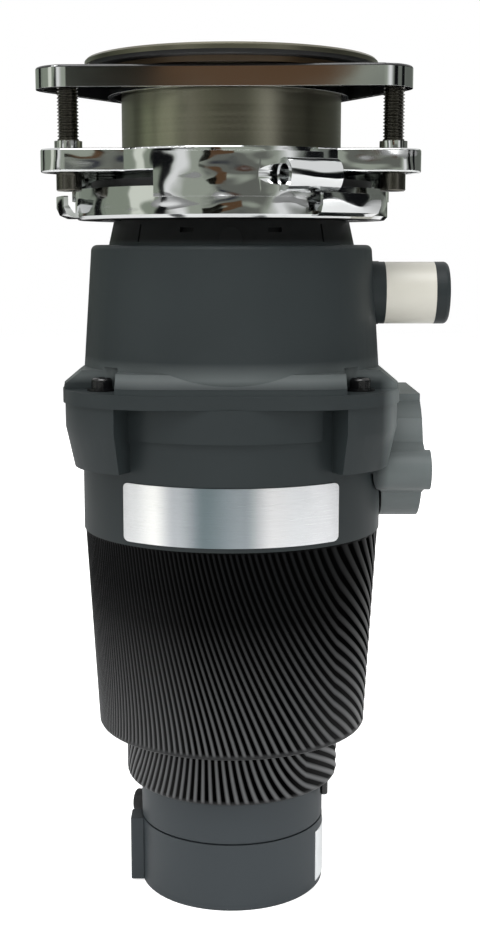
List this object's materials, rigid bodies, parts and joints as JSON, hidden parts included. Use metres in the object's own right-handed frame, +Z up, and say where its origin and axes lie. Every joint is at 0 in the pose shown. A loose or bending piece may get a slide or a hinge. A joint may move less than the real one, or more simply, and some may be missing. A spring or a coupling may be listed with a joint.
{
  "type": "garbage disposal",
  "caption": "Under-sink food waste disposer with a ribbed motor housing, grinding chamber, side discharge outlet and a chromed clamp mounting with a sink flange.",
  "frame": {"origin": "centre of the base plate's lower face, on the motor's axis", "axes": "+Z up along the motor's axis to the sink flange, +X towards the discharge outlet and the dishwasher inlet, -Y the front"},
  "size_m": [0.1599, 0.1487, 0.337],
  "materials": {
    "housing_plastic": "fine satin moulded surface, dark slate grey",
    "base_plastic": "fine satin moulded surface, grey",
    "ribbed_plastic": "satin black with fine moulded ribs",
    "black_plastic": "smooth black",
    "red_plastic": "smooth red",
    "black_rubber": "matte black rubber",
    "fibre_gasket": "brown vulcanised fibre",
    "white_label": "bare white label film",
    "chrome_casting": "bright chromed casting",
    "plated_screw": "plated steel thread, slightly dull",
    "brushed_stainless": "spun and brushed stainless steel",
    "stainless_cast": "cast stainless steel",
    "brushed_plate": "brushed plate, bare",
    "zinc_screw": "zinc plated steel",
    "zinc_flange": "zinc plated steel",
    "black_screw": "gloss black steel",
    "cast_alloy": "die-cast alloy",
    "bearing_steel": "ground steel",
    "shaft_steel": "ground steel",
    "spring_steel": "spring steel",
    "motor_steel": "zinc plated and laminated steel",
    "magnet_ferrite": "sintered ferrite",
    "brass_holder": "pressed brass",
    "copper_wire": "enamelled copper wire",
    "copper_bar": "turned copper",
    "carbon": "pressed carbon",
    "circuit_board": "green circuit board"
  },
  "bodies": {
    "disposer": {"base_cup": "base_plastic", "base_plate": "base_plastic", "base_screws": "zinc_screw", "rectifier_board": "circuit_board", "overload_protector": "black_plastic", "cable_cover": "base_plastic", "cord_gland": "black_rubber", "rating_label": "white_label", "lower_cover": "ribbed_plastic", "cover_screws": "black_screw", "motor_shell": "ribbed_plastic", "trim_band": "housing_plastic", "nameplate": "brushed_plate", "motor_end_cap": "cast_alloy", "lower_bearing": "bearing_steel", "motor_can": "motor_steel", "magnets": "magnet_ferrite", "brush_holders": "brass_holder", "carbon_brushes": "carbon", "brush_springs": "spring_steel", "bearing_plate": "cast_alloy", "upper_bearing": "bearing_steel", "through_bolts": "zinc_screw", "shaft_seal": "black_rubber", "chamber_casing": "housing_plastic", "casing_seal": "black_rubber", "shredder_ring": "stainless_cast", "hopper_housing": "housing_plastic", "casing_screws": "black_screw", "casing_washers": "black_screw", "knockout_plug": "housing_plastic", "inlet_label": "white_label", "hanger_flange": "zinc_flange", "neck_cushion": "black_rubber", "splash_guard": "black_rubber", "sink_flange": "brushed_stainless", "rim_seal": "black_rubber", "rim_gasket": "fibre_gasket", "snap_ring": "spring_steel", "mounting_ring": "chrome_casting"},
    "rotor": {"rotor_shaft": "shaft_steel", "armature_core": "motor_steel", "armature_windings": "copper_wire", "commutator": "copper_bar", "turntable": "stainless_cast", "turntable_nut": "stainless_cast", "impeller_pins": "stainless_cast"},
    "right_impeller": {"impeller_right": "stainless_cast"},
    "left_impeller": {"impeller_left": "stainless_cast"},
    "lock_ring": {"lock_ring": "chrome_casting"},
    "support_flange": {"support_flange": "chrome_casting"},
    "clamp_screw_1": {"clamp_screw_1": "plated_screw"},
    "clamp_screw_2": {"clamp_screw_2": "plated_screw"},
    "clamp_screw_3": {"clamp_screw_3": "plated_screw"},
    "reset_button": {"reset_button": "red_plastic"}
  },
  "joints": [
    {"name": "rotor_spin", "type": "hinge", "parent": "disposer", "child": "rotor", "pos_m": [0, 0, 0.16], "axis": [0, 0, 1], "continuous": true},
    {"name": "right_impeller_swing", "type": "hinge", "parent": "rotor", "child": "right_impeller", "pos_m": [0.0275, 0, 0.194], "axis": [0, 0, 1], "continuous": true},
    {"name": "left_impeller_swing", "type": "hinge", "parent": "rotor", "child": "left_impeller", "pos_m": [-0.0275, 0, 0.194], "axis": [0, 0, 1], "continuous": true},
    {"name": "lock_ring_turn", "type": "hinge", "parent": "disposer", "child": "lock_ring", "pos_m": [0, 0, 0.287], "axis": [0, 0, -1], "range_deg": [0, 14]},
    {"name": "support_flange_lower", "type": "slide", "parent": "disposer", "child": "support_flange", "axis": [0, 0, 1], "range_m": [-0.01, 0]},
    {"name": "reset_button_press", "type": "slide", "parent": "disposer", "child": "reset_button", "axis": [0, 0, 1], "range_m": [0, 0.0014], "stiffness_N_per_m": 300, "springref_m": -0.002},
    {"name": "clamp_screw_1_turn", "type": "hinge", "parent": "support_flange", "child": "clamp_screw_1", "pos_m": [0.06062, -0.035, 0.31], "axis": [0, 0, 1], "range_deg": [-2882, 2]},
    {"name": "clamp_screw_2_turn", "type": "hinge", "parent": "support_flange", "child": "clamp_screw_2", "pos_m": [0, 0.07, 0.31], "axis": [0, 0, 1], "range_deg": [-2882, 2]},
    {"name": "clamp_screw_3_turn", "type": "hinge", "parent": "support_flange", "child": "clamp_screw_3", "pos_m": [-0.06062, -0.035, 0.31], "axis": [0, 0, 1], "range_deg": [-2882, 2]}
  ],
  "couplings": [
    {"joint": "clamp_screw_1_turn", "follows": "support_flange_lower", "rad_per_m": 5026.5},
    {"joint": "clamp_screw_2_turn", "follows": "support_flange_lower", "rad_per_m": 5026.5},
    {"joint": "clamp_screw_3_turn", "follows": "support_flange_lower", "rad_per_m": 5026.5}
  ]
}
